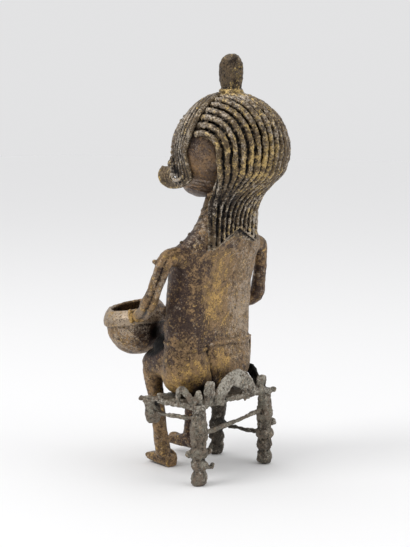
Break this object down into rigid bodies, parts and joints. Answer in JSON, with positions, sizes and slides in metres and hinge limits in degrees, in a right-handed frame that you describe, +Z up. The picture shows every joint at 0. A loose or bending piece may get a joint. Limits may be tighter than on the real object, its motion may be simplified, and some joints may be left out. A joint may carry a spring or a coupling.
{
  "type": "seated female figure with bowl, on a stool",
  "caption": "Cast brass statuette of a woman with a helmet of thick hair threads and a flat topknot, seated on a rustic openwork stool with an open round bowl on her knees.",
  "frame": {"origin": "middle of the underside of the whole object's bounding box, on the ground that the stool stands on", "axes": "+Z up, -Y the way she faces, +X towards her left hand"},
  "size_m": [0.1006, 0.1226, 0.2401],
  "materials": {
    "brass": "worn brown patina, satin",
    "grey_bronze": "grey-green patina, matte"
  },
  "bodies": {
    "root": {"figure": "brass", "stool": "grey_bronze"}
  },
  "joints": []
}
